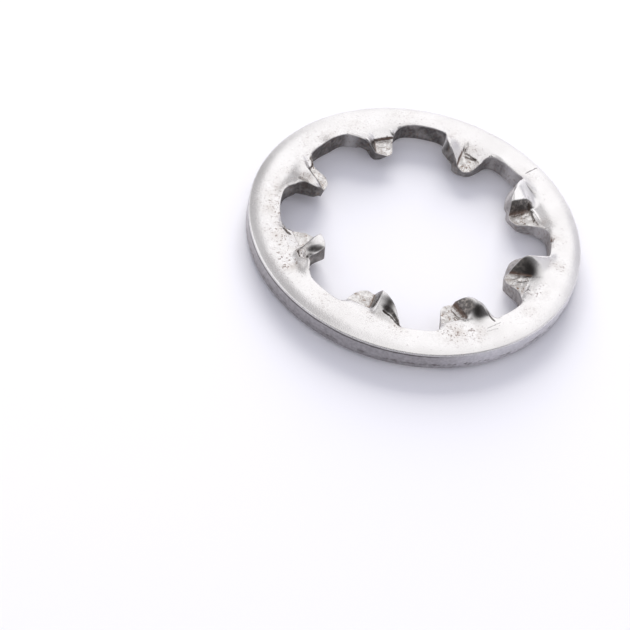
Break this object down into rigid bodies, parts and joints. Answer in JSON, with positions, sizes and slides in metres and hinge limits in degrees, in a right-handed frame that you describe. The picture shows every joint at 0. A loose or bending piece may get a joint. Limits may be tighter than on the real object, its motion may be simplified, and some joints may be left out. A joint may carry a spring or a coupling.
{
  "type": "internal toothed lock washer",
  "caption": "Flat steel lock washer with a smooth round rim and inward-pointing teeth set askew, each with one corner up and one down, to grip under a screw head or nut.",
  "frame": {"origin": "on the axis of the hole, at the level of the lowest tooth corners, on which the washer lies", "axes": "+Z is the axis of the hole and points out of the face with the rolled outer edge; +X runs from the axis through the middle of one tooth; +Y completes the right-handed frame"},
  "size_m": [0.011, 0.011, 0.0012],
  "materials": {
    "washer_steel": "bright tumbled steel, slightly tarnished, sheared edges dark and rough"
  },
  "bodies": {
    "root": {"lock_washer": "washer_steel"}
  },
  "joints": []
}
